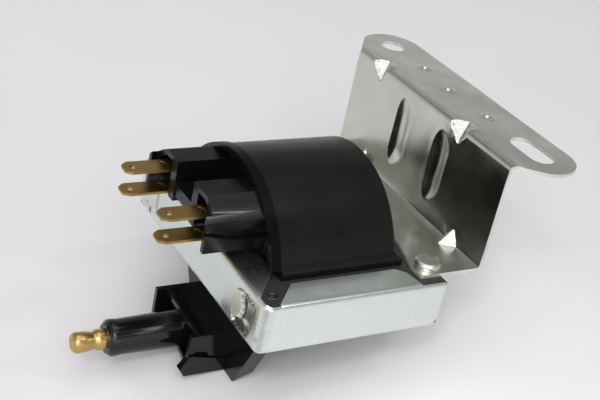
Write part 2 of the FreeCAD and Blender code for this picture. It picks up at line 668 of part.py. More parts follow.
def parts():
    """Every node of the model by name."""
    model = {
        "core_shroud": core_shroud(),
        "core_e_stack": core_e_stack(),
        "core_i_stack": core_i_stack(),
        "core_gap_spacer": core_gap_spacer(),
        "stack_pins": stack_pins(),
        "coil_case": coil_case(),
        "primary_bobbin": primary_bobbin(),
        "primary_winding": primary_winding(),
        "primary_wrap": primary_wrap(),
        "secondary_bobbin": secondary_bobbin(),
        "secondary_winding": secondary_winding(),
        "epoxy_potting": epoxy_potting(),
        "connector_cover": connector_cover(),
        "bus_upper": terminal_bus(BLADE_UPPER_Z),
        "bus_lower": terminal_bus(BLADE_LOWER_Z),
        "primary_lead_start": primary_lead_start(),
        "primary_lead_finish": primary_lead_finish(),
        "ht_housing": ht_housing(),
        "ht_insert": ht_insert(),
        "ht_terminal": ht_terminal(),
        "ht_lead": ht_lead(LEAD_R),
        "mounting_bracket": mounting_bracket(),
        "bracket_rivets": bracket_rivets(),
    }
    for name, y, z in blade_positions():
        model[name] = blade(y, z)
    return model


os.makedirs("parts", exist_ok=True)
for name, shape in parts().items():
    shape.translate(V(0, 0, 0) - ORIGIN)
    shape.exportStep("parts/" + name + ".step")
    print(name, len(shape.Solids), "solids", shape.isValid(), round(shape.Volume, 1))
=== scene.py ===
import math

import bmesh
import bpy
import numpy as np
from mathutils import Matrix, Vector
from mathutils.geometry import delaunay_2d_cdt


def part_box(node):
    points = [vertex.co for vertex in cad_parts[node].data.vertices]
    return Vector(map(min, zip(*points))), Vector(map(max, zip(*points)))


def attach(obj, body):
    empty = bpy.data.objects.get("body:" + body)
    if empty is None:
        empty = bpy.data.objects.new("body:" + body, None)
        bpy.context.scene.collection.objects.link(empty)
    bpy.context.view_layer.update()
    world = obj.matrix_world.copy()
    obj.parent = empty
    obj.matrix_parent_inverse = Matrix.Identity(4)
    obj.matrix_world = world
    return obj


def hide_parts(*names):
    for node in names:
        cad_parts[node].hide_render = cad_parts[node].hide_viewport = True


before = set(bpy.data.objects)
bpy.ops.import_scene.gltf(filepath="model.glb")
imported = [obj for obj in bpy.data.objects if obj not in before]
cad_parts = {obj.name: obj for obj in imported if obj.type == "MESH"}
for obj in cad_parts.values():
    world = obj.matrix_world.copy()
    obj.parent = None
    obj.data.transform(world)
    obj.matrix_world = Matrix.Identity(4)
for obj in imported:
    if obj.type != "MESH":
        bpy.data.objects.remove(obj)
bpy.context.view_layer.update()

# The coil's own axes, in millimetres: X from the outer left face of the core frame, Y and Z from its middle.
MM = 0.001
SHROUD_LO, SHROUD_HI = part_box("core_shroud")
BRACKET_LO, BRACKET_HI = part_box("mounting_bracket")
AXES = np.array((SHROUD_LO.x, (SHROUD_LO.y + SHROUD_HI.y) / 2, (SHROUD_LO.z + SHROUD_HI.z) / 2))

FRAME_X = (SHROUD_HI.x - SHROUD_LO.x) / MM
FRAME_HALF_Y = (SHROUD_HI.y - SHROUD_LO.y) / 2 / MM
FRAME_HALF_Z = (SHROUD_HI.z - SHROUD_LO.z) / 2 / MM
STEEL = 1.0

BASE_TOP = FRAME_HALF_Z
WALL_X = 74.0
WALL_NEAR_Y = -38.2
WALL_FAR_Y = 43.9
FLANGE_TOP = (BRACKET_HI.z - AXES[2]) / MM
HOLE_X = 88.3
HOLE_Y = 45.6
HOLE_R = 4.1
EAR_R = 10.5
SLOT_Y = (-34.5, -26.2)
RIVETS = [(58.2, -33.5), (58.2, 33.5)]
RIM_X = 7.5
RIM_R = 27.5
FAR_AWAY = 1e9
TINY = 1e-12
BEVEL_SEGMENTS = 2
WELD_M = 2e-6
FLAT_DEG = 0.4
GRID_CLEARANCE = 0.25


# ---- small tools ----------------------------------------------------------------------------

def to_frame(points):
    """Coil axes in millimetres to the row's frame in metres."""
    return AXES + np.asarray(points, float) * MM


def smoothstep(low, high, value):
    """0 below low, 1 above high, smooth between."""
    t = np.clip((np.asarray(value, float) - low) / (high - low), 0.0, 1.0)
    return t * t * (3 - 2 * t)


def arc(cx, cy, radius, start, end, steps):
    """Points of a circular arc, angles in degrees."""
    angles = np.radians(np.linspace(start, end, steps))
    return [(cx + radius * math.cos(a), cy + radius * math.sin(a)) for a in angles]


def subdivide(loop, step):
    """Closed outline with extra points, none further apart than step."""
    out = []
    for (x0, y0), (x1, y1) in zip(loop, loop[1:] + loop[:1]):
        count = max(1, int(math.ceil(math.hypot(x1 - x0, y1 - y0) / step)))
        for i in range(count):
            t = i / count
            out.append((x0 + (x1 - x0) * t, y0 + (y1 - y0) * t))
    return out


def rounded(line, radius, closed=False):
    """Run of corners with each one replaced by an arc; an open run keeps its two ends."""
    out = []
    n = len(line)
    for i in range(n):
        p = Vector(line[i])
        if not closed and i in (0, n - 1):
            out.append(tuple(p))
            continue
        a = Vector(line[i - 1]) - p
        b = Vector(line[(i + 1) % n]) - p
        half = a.angle(b) / 2
        reach = min(radius / math.tan(half), a.length * 0.45, b.length * 0.45)
        start = p + a.normalized() * reach
        end = p + b.normalized() * reach
        for k in range(6):
            t = k / 5
            out.append(tuple(start * (1 - t) ** 2 + p * 2 * t * (1 - t) + end * t * t))
    return out


def inside(points, loops):
    """Even-odd test of many points against closed outlines."""
    points = np.asarray(points, float)
    result = np.zeros(len(points), bool)
    x, y = points[:, 0], points[:, 1]
    for loop in loops:
        ring = np.asarray(loop, float)
        for (x0, y0), (x1, y1) in zip(ring, np.roll(ring, -1, 0)):
            if y0 == y1:
                continue
            crosses = (y0 > y) != (y1 > y)
            result ^= crosses & (x < (x1 - x0) * (y - y0) / (y1 - y0) + x0)
    return result


def edge_distance(points, loops):
    """Distance from many points to the nearest outline."""
    points = np.asarray(points, float)
    best = np.full(len(points), FAR_AWAY)
    for loop in loops:
        ring = np.asarray(loop, float)
        for a, b in zip(ring, np.roll(ring, -1, 0)):
            d = b - a
            t = np.clip(((points - a) @ d) / max(d @ d, TINY), 0, 1)
            gap = points - (a + t[:, None] * d)
            best = np.minimum(best, np.hypot(gap[:, 0], gap[:, 1]))
    return best


def grid(xs, ys):
    """All pairs of two lists of values."""
    gx, gy = np.meshgrid(xs, ys, indexing="ij")
    return np.stack([gx.ravel(), gy.ravel()], 1)


def patterned(loops, coarse, patches):
    """Triangles over an outline with holes: a coarse grid, and finer patches where there is detail."""
    points = np.asarray(coarse, float)
    for x0, x1, y0, y1, step in patches:
        hit = (points[:, 0] > x0) & (points[:, 0] < x1) & (points[:, 1] > y0) & (points[:, 1] < y1)
        points = points[~hit]
        fine = grid(np.arange(x0, x1 + step / 2, step), np.arange(y0, y1 + step / 2, step))
        points = np.concatenate([points, fine])
    points = points[inside(points, loops)]
    points = points[edge_distance(points, loops) > GRID_CLEARANCE]
    verts = []
    edges = []
    for loop in loops:
        start = len(verts)
        verts += [Vector(p) for p in loop]
        edges += [(start + i, start + (i + 1) % len(loop)) for i in range(len(loop))]
    verts += [Vector(p) for p in points]
    out = delaunay_2d_cdt(verts, edges, [], 0, 1e-4, False)
    flat = np.array([tuple(v) for v in out[0]])
    faces = np.array([tuple(f) for f in out[2] if len(f) == 3])
    middle = flat[faces].mean(1)
    return flat, faces[inside(middle, loops)]


def sheet(loops, coarse, patches, surface, thick, flip=False):
    """Bent sheet metal: a flat pattern laid on a surface, with a second skin one thickness below."""
    flat, faces = patterned(loops, coarse, patches)
    top = surface(flat[:, 0], flat[:, 1])
    if flip:
        faces = faces[:, ::-1]
    face_normal = np.cross(top[faces[:, 1]] - top[faces[:, 0]], top[faces[:, 2]] - top[faces[:, 0]])
    normal = np.zeros_like(top)
    for k in range(3):
        np.add.at(normal, faces[:, k], face_normal)
    normal /= np.maximum(np.linalg.norm(normal, axis=1), TINY)[:, None]
    bottom = top - normal * thick
    count = len(top)
    polys = [tuple(f) for f in faces] + [tuple(int(i) + count for i in f[::-1]) for f in faces]
    directed = set()
    for a, b, c in faces:
        directed.update(((a, b), (b, c), (c, a)))
    polys += [(b, a, a + count, b + count) for a, b in directed if (b, a) not in directed]
    return np.concatenate([top, bottom]), [tuple(int(i) for i in p) for p in polys]


def lathe(profile, steps, z=0.0):
    """Solid of revolution about the X direction; profile is (x, radius) and starts and ends on the axis."""
    ring = [p for p in profile if p[1] > 1e-6]
    verts = []
    for x, r in ring:
        for k in range(steps):
            a = 2 * math.pi * k / steps
            verts.append((x, r * math.cos(a), z + r * math.sin(a)))
    faces = []
    for i in range(len(ring) - 1):
        for k in range(steps):
            n = (k + 1) % steps
            faces.append((i * steps + k, (i + 1) * steps + k, (i + 1) * steps + n, i * steps + n))
    for row, x in ((0, profile[0][0]), (len(ring) - 1, profile[-1][0])):
        centre = len(verts)
        verts.append((x, 0.0, z))
        for k in range(steps):
            n = (k + 1) % steps
            tri = (row * steps + k, row * steps + n, centre)
            faces.append(tri if row == 0 else tri[::-1])
    return np.array(verts), faces


def piece(name, points, faces, node, material, bevel=0.0, sharp=38, angle=50, cut_edge=None):
    """New visible piece that stands for a CAD node: smooth where it curves, with softened edges."""
    bm = bmesh.new()
    verts = [bm.verts.new(p) for p in to_frame(points)]
    for f in faces:
        face = bm.faces.new([verts[i] for i in f])
        if cut_edge and len(f) == 4:
            face.material_index = 1
    bmesh.ops.recalc_face_normals(bm, faces=bm.faces)
    obj = from_bmesh(bm, name, [node], material, bevel, sharp, angle)
    if cut_edge:
        obj.data.materials.append(cut_edge)
    return obj


def from_bmesh(bm, name, nodes, material, bevel, sharp, angle):
    """Object made from a bmesh, riding on the body and standing for its CAD nodes."""
    for f in bm.faces:
        f.smooth = True
    for e in bm.edges:
        if len(e.link_faces) == 2:
            e.smooth = e.calc_face_angle(0.0) < math.radians(sharp)
    mesh = bpy.data.meshes.new(name)
    bm.to_mesh(mesh)
    bm.free()
    obj = bpy.data.objects.new(name, mesh)
    bpy.context.scene.collection.objects.link(obj)
    mesh.materials.append(material)
    if bevel > 0:
        soften = obj.modifiers.new("edges", "BEVEL")
        soften.width = bevel * MM
        soften.segments = BEVEL_SEGMENTS
        soften.limit_method = "ANGLE"
        soften.angle_limit = math.radians(angle)
        soften.harden_normals = True
        soften.miter_outer = "MITER_ARC"
    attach(obj, "root")
    if nodes:
        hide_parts(*nodes)
    return obj


def refined(node, name, material, bevel, sharp=32, angle=32, reshape=None, rim=None):
    """A CAD node's own shape with softened edges. reshape moves its points, in millimetres on the coil's
    axes; rim is a second, darker copy of the material for the faces near the outer edge of the cover, painted
    shade there."""
    bm = bmesh.new()
    bm.from_mesh(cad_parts[node].data)
    if reshape:
        for v in bm.verts:
            v.co = Vector(to_frame(reshape((np.array(v.co) - AXES) / MM)))
    bmesh.ops.remove_doubles(bm, verts=bm.verts, dist=WELD_M)
    bmesh.ops.dissolve_limit(bm, angle_limit=math.radians(FLAT_DEG), verts=bm.verts, edges=bm.edges)
    for f in bm.faces:
        x, y, z = (np.array(f.calc_center_median()) - AXES) / MM
        # Faces at the cap's rim take the darker copy: painted shade.
        if rim and x > RIM_X and math.hypot(y, z) > RIM_R:
            f.material_index = 1
    obj = from_bmesh(bm, name, [node], material, bevel, sharp, angle)
    if rim:
        obj.data.materials.append(rim)
    return obj


# ---- materials ------------------------------------------------------------------------------

class Recipe:
    """A node material built up from layers of procedural texture in the object's own space."""

    def __init__(self, name, **sockets):
        self.material = bpy.data.materials.new(name)
        self.material.use_nodes = True
        self.tree = self.material.node_tree
        self.shader = self.tree.nodes["Principled BSDF"]
        self.where = self.add("ShaderNodeTexCoord").outputs["Object"]
        self.normal = None
        for socket, value in sockets.items():
            self.shader.inputs[socket.replace("_", " ")].default_value = value

    def add(self, kind, **settings):
        node = self.tree.nodes.new(kind)
        for key, value in settings.items():
            setattr(node, key, value)
        return node

    def link(self, source, target):
        self.tree.links.new(source, target)

    def space(self, stretch):
        mapping = self.add("ShaderNodeMapping")
        mapping.inputs["Scale"].default_value = stretch
        self.link(self.where, mapping.inputs["Vector"])
        return mapping.outputs["Vector"]

    def noise(self, scale, detail, rough, stretch=(1, 1, 1), distortion=0.0):
        tex = self.add("ShaderNodeTexNoise")
        self.link(self.space(stretch), tex.inputs["Vector"])
        tex.inputs["Scale"].default_value = scale
        tex.inputs["Detail"].default_value = detail
        tex.inputs["Roughness"].default_value = rough
        tex.inputs["Distortion"].default_value = distortion
        return tex.outputs["Fac"]

    def cells(self, scale):
        tex = self.add("ShaderNodeTexVoronoi")
        self.link(self.where, tex.inputs["Vector"])
        tex.inputs["Scale"].default_value = scale
        return tex.outputs["Distance"]

    def bands(self, scale, direction, distortion):
        tex = self.add("ShaderNodeTexWave", wave_type="BANDS", bands_direction=direction)
        self.link(self.where, tex.inputs["Vector"])
        tex.inputs["Scale"].default_value = scale
        tex.inputs["Distortion"].default_value = distortion
        return tex.outputs["Fac"]

    def spread(self, value, low, high, out_low=0.0, out_high=1.0):
        node = self.add("ShaderNodeMapRange")
        self.link(value, node.inputs["Value"])
        for key, v in (("From Min", low), ("From Max", high), ("To Min", out_low), ("To Max", out_high)):
            node.inputs[key].default_value = v
        return node.outputs["Result"]

    def math(self, operation, a, b):
        node = self.add("ShaderNodeMath", operation=operation)
        for socket, v in zip(node.inputs, (a, b)):
            if isinstance(v, (int, float)):
                socket.default_value = v
            else:
                self.link(v, socket)
        return node.outputs["Value"]

    def mix(self, factor, a, b):
        node = self.add("ShaderNodeMix", data_type="RGBA")
        for key, v in ((0, factor), (6, a), (7, b)):
            if isinstance(v, (int, float)):
                node.inputs[key].default_value = v
            elif isinstance(v, tuple):
                node.inputs[key].default_value = (*v, 1.0)
            else:
                self.link(v, node.inputs[key])
        return node.outputs[2]

    def colour(self, output):
        self.link(output, self.shader.inputs["Base Color"])

    def rough(self, output):
        self.link(output, self.shader.inputs["Roughness"])

    def bump(self, height, depth_mm, strength=1.0):
        node = self.add("ShaderNodeBump")
        node.inputs["Strength"].default_value = strength
        node.inputs["Distance"].default_value = depth_mm * MM
        self.link(height, node.inputs["Height"])
        if self.normal is not None:
            self.link(self.normal, node.inputs["Normal"])
        self.normal = node.outputs["Normal"]
        self.link(self.normal, self.shader.inputs["Normal"])

    def near(self, centre_mm, radius_mm, upright=False):
        """1 at a place on the object, or on an upright line, falling to 0 at the given distance."""
        node = self.add("ShaderNodeVectorMath", operation="DISTANCE")
        x, y, z = to_frame(centre_mm)
        self.link(self.space((1, 1, 0)) if upright else self.where, node.inputs[0])
        node.inputs[1].default_value = (x, y, 0.0 if upright else z)
        return self.spread(node.outputs["Value"], radius_mm * MM, 0.0)


def zinc(name, light, dark, rough_low, rough_high, direction, painted_spots=(), lines=(), dents=(), metal=1.0):
    """Zinc-plated sheet: cloudy passivation, faint grain and faint rolling lines, with painted shade, painted
    highlights and painted reflection where marks are given.
    """
    r = Recipe(name, Metallic=metal)
    clouds = r.noise(90, 5, 0.6)
    fine = r.noise(900, 3, 0.6)
    rolling = r.noise(700, 3, 0.6, stretch=direction)
    tone = r.mix(r.spread(clouds, 0.30, 0.72), light, dark)
    tone = r.mix(r.spread(fine, 0.45, 0.75, 0.0, 0.30), tone, tuple(c * 0.96 for c in dark))
    blotch = r.spread(r.noise(750, 3, 0.6), 0.34, 0.58, 0.35, 1.0)
    # The given spots and lines paint shade, highlights and reflection into the colour, broken up by noise.
    marks = [(mark, False) for mark in painted_spots] + [(mark, True) for mark in lines]
    for (centre, radius, amount, shade), upright in marks:
        share = r.math("MINIMUM", r.math("MULTIPLY", r.near(centre, radius, upright), amount), 1.0)
        tone = r.mix(r.math("MULTIPLY", share, blotch), tone, shade)
    r.colour(tone)
    r.rough(r.spread(r.math("ADD", clouds, r.math("MULTIPLY", fine, 0.2)), 0.4, 0.8, rough_low, rough_high))
    r.bump(r.noise(45, 2, 0.5), 0.10, 0.4)
    r.bump(rolling, 0.002, 0.5)
    for centre, radius, depth in dents:
        r.bump(r.math("MULTIPLY", r.near(centre, radius), r.noise(420, 2, 0.5)), depth)
    return r.material


def plastic(name, base, lift, rough_low, rough_high, grain, gloss, dust_and_glints=0.0):
    """Moulded black plastic: fine grain, soft mottling and a little pale dust, with pale specks where asked
    that are partly dust and partly painted glints.
    """
    r = Recipe(name, Specular_IOR_Level=gloss)
    clouds = r.noise(120, 4, 0.6)
    fine = r.noise(grain, 2, 0.6)
    tone = r.mix(r.spread(clouds, 0.35, 0.7), base, lift)
    dust = r.spread(r.noise(520, 4, 0.75), 0.66, 0.78)
    tone = r.mix(r.math("MULTIPLY", dust, 0.25), tone, tuple(c * 1.8 for c in lift))
    # Pale specks: partly dust, partly painted glints.
    if dust_and_glints > 0:
        dots = r.spread(r.cells(430), 0.10, 0.06)
        rare = r.spread(r.noise(75, 2, 0.5), 0.60, 0.66)
        tone = r.mix(r.math("MULTIPLY", r.math("MULTIPLY", dots, rare), dust_and_glints), tone, (0.5, 0.5, 0.5))
    r.colour(tone)
    r.rough(r.spread(r.math("ADD", clouds, r.math("MULTIPLY", fine, 0.3)), 0.45, 0.95, rough_low, rough_high))
    r.bump(fine, 0.004, 0.5)
    r.bump(r.noise(60, 2, 0.5), 0.08, 0.3)
    return r.material


def brass(name, light, dark, rough_low, rough_high, stretch):
    """Brass with cloudy tarnish, faint drawing lines and darker spots."""
    r = Recipe(name, Metallic=1.0)
    clouds = r.noise(260, 5, 0.65)
    lines = r.noise(1200, 2, 0.6, stretch=stretch)
    spots = r.spread(r.noise(900, 3, 0.6), 0.62, 0.74)
    tone = r.mix(r.spread(clouds, 0.32, 0.7), light, dark)
    tone = r.mix(r.math("MULTIPLY", spots, 0.5), tone, tuple(c * 0.5 for c in dark))
    r.colour(tone)
    r.rough(r.spread(r.math("ADD", clouds, lines), 0.7, 1.3, rough_low, rough_high))
    r.bump(lines, 0.01, 0.6)
    r.bump(clouds, 0.03, 0.4)
    return r.material


LAYER_SCALE = 1000.0
TURN_SCALE = 0.314


def laminated(name):
    """Stacked silicon-steel sheets: dark, with thin layer lines on the sides."""
    r = Recipe(name, Metallic=0.3)
    clouds = r.noise(160, 5, 0.65)
    layers = r.bands(LAYER_SCALE, "Z", 0.4)
    tone = r.mix(r.spread(clouds, 0.35, 0.7), (0.060, 0.063, 0.056), (0.036, 0.038, 0.034))
    tone = r.mix(r.spread(layers, 0.0, 0.35, 0.5, 0.0), tone, (0.015, 0.015, 0.014))
    rust = r.spread(r.noise(420, 4, 0.7), 0.64, 0.76)
    tone = r.mix(r.math("MULTIPLY", rust, 0.35), tone, (0.10, 0.06, 0.035))
    r.colour(tone)
    r.rough(r.spread(clouds, 0.3, 0.7, 0.32, 0.6))
    r.bump(layers, 0.04, 0.5)
    r.bump(r.noise(700, 3, 0.6), 0.02, 0.5)
    return r.material


def wound(name, colour, pitch):
    """Enamelled wire laid side by side along the coil."""
    r = Recipe(name, Metallic=0.9, Roughness=0.3)
    turns = r.bands(TURN_SCALE / (pitch * MM) * 0.1, "X", 0.3)
    clouds = r.noise(200, 3, 0.6)
    r.colour(r.mix(r.spread(clouds, 0.3, 0.7), colour, tuple(c * 0.6 for c in colour)))
    r.rough(r.spread(turns, 0.0, 1.0, 0.45, 0.25))
    r.bump(turns, 0.1, 0.8)
    return r.material


def fibrous(name, colour, rough_level):
    """Paper, board or filled resin: soft fibres and a dull face."""
    r = Recipe(name)
    fibres = r.noise(900, 4, 0.7, stretch=(0.2, 1, 1), distortion=1.0)
    clouds = r.noise(150, 3, 0.6)
    tone = r.mix(r.spread(fibres, 0.35, 0.7), colour, tuple(c * 0.75 for c in colour))
    r.colour(r.mix(r.spread(clouds, 0.3, 0.8, 0.0, 0.5), tone, tuple(c * 0.85 for c in colour)))
    r.rough(r.spread(fibres, 0.3, 0.7, rough_level, rough_level + 0.15))
    r.bump(fibres, 0.03, 0.5)
    return r.material


# Marks painted on the left wall, most of them painted shade, with two painted highlights and a painted
# reflection: centre in millimetres, radius, strength, colour. Their order matters.
# Painted reflection: darker upright bands down the bend of the near-left corner.
CORNER_PAINTED_REFLECTION = [
    ((0.9, -41.5, 0.0), 1.5, 0.9, (0.44, 0.46, 0.43)),
    ((2.6, -42.6, 0.0), 1.0, 0.4, (0.55, 0.57, 0.54)),
]
# Two dark spots near the near-left corner.
CORNER_DARK_SPOTS = [
    ((0.1, -37.4, 4.1), 0.9, 1.3, (0.22, 0.23, 0.21)),
    ((0.1, -40.2, -3.6), 1.2, 1.0, (0.38, 0.39, 0.37)),
]
# Painted shade in the clinch: a darker hollow, a near-black pit and a dark band along the torn top edge.
CLINCH_PAINTED_SHADE_AND_HIGHLIGHTS = [
    ((0.4, -33.9, -0.8), 3.4, 1.1, (0.20, 0.18, 0.15)),
    ((0.4, -34.9, 1.6), 2.4, 0.6, (0.24, 0.22, 0.19)),
    ((0.5, -28.4, -6.2), 2.2, 1.9, (0.03, 0.03, 0.03)),
    ((0.5, -31.6, -5.8), 2.0, 1.7, (0.03, 0.03, 0.03)),
    ((0.5, -34.6, -5.6), 1.8, 1.5, (0.04, 0.04, 0.04)),
    ((0.5, -30.6, -4.4), 1.5, 1.6, (0.05, 0.05, 0.05)),
    ((0.5, -28.3, 4.5), 0.8, 1.4, (0.10, 0.10, 0.09)),
    ((0.5, -30.0, 4.5), 1.3, 2.6, (0.03, 0.03, 0.03)),
    ((0.5, -31.9, 4.4), 1.3, 2.4, (0.03, 0.03, 0.03)),
    ((0.5, -33.7, 4.2), 1.2, 2.2, (0.04, 0.04, 0.04)),
    ((0.3, -35.6, 4.3), 1.0, 2.2, (0.02, 0.02, 0.02)),
    ((0.3, -36.9, 2.4), 1.2, 0.9, (0.12, 0.12, 0.11)),
    # Two painted highlights on the ridge between the hollow and the pit.
    ((0.7, -31.9, -4.0), 0.55, 2.5, (0.90, 0.90, 0.88)),
    ((0.7, -33.4, -3.5), 0.55, 2.5, (0.90, 0.90, 0.88)),
    # Painted shade on the wall leading down to the pit.
    ((0.0, -22.6, -5.6), 3.4, 0.8, (0.52, 0.51, 0.57)),
    ((0.0, -19.4, -6.4), 2.8, 0.6, (0.58, 0.57, 0.62)),
    # Painted shade along the pit's lower-left edge.
    ((0.4, -25.4, -5.0), 1.1, 1.5, (0.42, 0.41, 0.45)),
    ((0.4, -26.2, -6.2), 1.1, 1.5, (0.30, 0.30, 0.32)),
    # Painted shade along the tongue's right edge.
    ((0.5, -29.5, 2.8), 1.1, 1.6, (0.22, 0.21, 0.19)),
    ((0.5, -30.2, 1.2), 1.1, 1.6, (0.24, 0.23, 0.20)),
    ((0.6, -30.8, -0.6), 1.1, 1.5, (0.28, 0.26, 0.23)),
    ((0.6, -30.2, -2.4), 1.1, 1.5, (0.22, 0.21, 0.19)),
]
# Painted shade along the far dent's edge and in its lower corners.
FAR_DENT_PAINTED_SHADE = [((0.5, 27.9, z), 1.0, 1.4, (0.10, 0.10, 0.10)) for z in (2.2, 1.1, 0.0, -1.1, -2.2, -3.3, -4.4)]
FAR_DENT_PAINTED_SHADE += [
    ((0.3, 38.6, -7.3), 1.3, 1.6, (0.06, 0.06, 0.06)),
    ((0.3, 32.3, -5.9), 1.3, 1.6, (0.06, 0.06, 0.06)),
    ((0.3, 35.6, -5.2), 1.5, 0.5, (0.35, 0.35, 0.34)),
]
# The shroud's zinc carries the painted shade, painted highlights and painted reflection listed above.
ZINC_SHROUD = zinc("zinc_shroud", (0.725, 0.775, 0.74), (0.68, 0.73, 0.695), 0.24, 0.34, (0.1, 0.1, 1),
                   painted_spots=CORNER_DARK_SPOTS + CLINCH_PAINTED_SHADE_AND_HIGHLIGHTS + FAR_DENT_PAINTED_SHADE, lines=CORNER_PAINTED_REFLECTION)
DART_DENTS = [((75.0, y, z), 5.0, 0.8) for y, z in ((-13.1, 41.0), (31.2, 41.0), (-23.4, 9.8))]
ZINC_BRACKET = zinc("zinc_bracket", (0.67, 0.685, 0.62), (0.60, 0.612, 0.55), 0.17, 0.28, (1, 0.08, 1),
                    dents=DART_DENTS)
ZINC_EDGE = zinc("zinc_cut_edge", (0.66, 0.67, 0.62), (0.50, 0.51, 0.46), 0.36, 0.50, (1, 1, 1), metal=0.6)
ZINC_RIVET = zinc("zinc_rivet", (0.72, 0.70, 0.66), (0.58, 0.57, 0.53), 0.25, 0.4, (1, 1, 1))
CASE_BLACK = plastic("case_black", (0.0064, 0.0056, 0.0052), (0.0082, 0.0073, 0.0068), 0.26, 0.36, 2600, 0.14)
HOOD_BLACK = plastic("hood_black", (0.0024, 0.0027, 0.0030), (0.0040, 0.0044, 0.0048), 0.17, 0.25, 2200, 0.30,
                     dust_and_glints=0.7)
# A darker, duller copy of the hood's black: painted shade on the cap's rim.
CAP_SHADED_BLACK = plastic("cap_shaded_black", (0.0014, 0.0015, 0.0017), (0.0022, 0.0023, 0.0025), 0.30, 0.42, 2200, 0.08)
HT_BLACK = plastic("ht_black", (0.0026, 0.0030, 0.0034), (0.0046, 0.0051, 0.0056), 0.11, 0.17, 1800, 0.42)
BLADE_BRASS = brass("blade_brass", (0.43, 0.28, 0.09), (0.32, 0.20, 0.06), 0.28, 0.42, (0.08, 1, 1))
TERMINAL_BRASS = brass("terminal_brass", (0.60, 0.42, 0.15), (0.45, 0.30, 0.10), 0.24, 0.36, (1, 1, 1))
LAMINATION = laminated("lamination")
PIN_STEEL = zinc("pin_steel", (0.12, 0.12, 0.115), (0.08, 0.08, 0.076), 0.30, 0.42, (1, 1, 1))
COPPER = wound("copper_wire", (0.68, 0.30, 0.14), 0.35)
PAPER = fibrous("paper_wrap", (0.62, 0.50, 0.30), 0.6)
BOARD = fibrous("gap_board", (0.40, 0.28, 0.14), 0.55)
BOBBIN = fibrous("bobbin_plastic", (0.045, 0.040, 0.034), 0.4)
RESIN = plastic("resin", (0.030, 0.024, 0.020), (0.045, 0.036, 0.030), 0.15, 0.3, 900, 0.5)


def dress(node, material):
    """Give a CAD node that stays in view its material."""
    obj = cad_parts[node]
    if not obj.material_slots:
        obj.data.materials.append(material)
    for slot in obj.material_slots:
        slot.material = material


for cad_node, cad_material in (
        ("core_e_stack", LAMINATION), ("core_i_stack", LAMINATION),
        ("core_gap_spacer", BOARD), ("primary_bobbin", BOBBIN), ("primary_winding", COPPER),
        ("primary_wrap", PAPER), ("secondary_bobbin", BOBBIN), ("secondary_winding", COPPER),
        ("epoxy_potting", RESIN), ("bus_upper", BLADE_BRASS), ("bus_lower", BLADE_BRASS),
        ("primary_lead_start", COPPER), ("primary_lead_finish", COPPER), ("ht_insert", TERMINAL_BRASS),
        ("ht_lead", COPPER)):
    dress(cad_node, cad_material)


# ---- mounting bracket -----------------------------------------------------------------------

WALL_H = FLANGE_TOP - BASE_TOP
TOP_DARTS = [(-12.7, 6.3, 6.3, 1.8), (31.5, 5.6, 6.4, 2.4)]
BASE_DARTS = [(-23.4, 3.6, 5.6, 0.0), (28.0, 3.6, 5.6, 0.0)]
LOW_FOLD_R = 0.9
HIGH_FOLD_R = 1.7
RIBS = [(13.2, 19.2, 34.8), (-7.8, 17.8, 33.4)]
RIB_R = 3.7
RIB_DEPTH = 1.15
RIB_SKEW = 0.28
RIB_RUN = 2.0
FLANGE_DIMPLES = [(89.3, 27.6), (86.9, 10.9), (88.1, -8.4)]


def chamfer_reach(s, y, radius, darts):
    """How far from the fold the sheet leaves its flat: the bend radius, or more across a dart."""
    reach = np.full_like(y, radius)
    for centre, half, size, skew in darts:
        ridge = centre + skew * np.clip(s / size, -1, 1)
        t = np.sqrt(((y - ridge) / half) ** 2 + 0.006)
        tent = size * (1 - t ** 0.75)
        reach = np.maximum(reach, tent)
    return reach


def folded(s, corner, before, after, reach, radius):
    """Position on a fold: straight before and after it, an arc at it, a straight cut across a dart."""
    t = np.clip((s + reach) / (2 * reach), 0, 1)[:, None]
    a = corner - before * reach[:, None]
    b = corner + after * reach[:, None]
    curve = a * (1 - t) ** 2 + corner * 2 * t * (1 - t) + b * t * t
    cut = a * (1 - t) + b * t
    share = smoothstep(radius, radius + 0.8, reach)[:, None]
    return curve * (1 - share) + cut * share


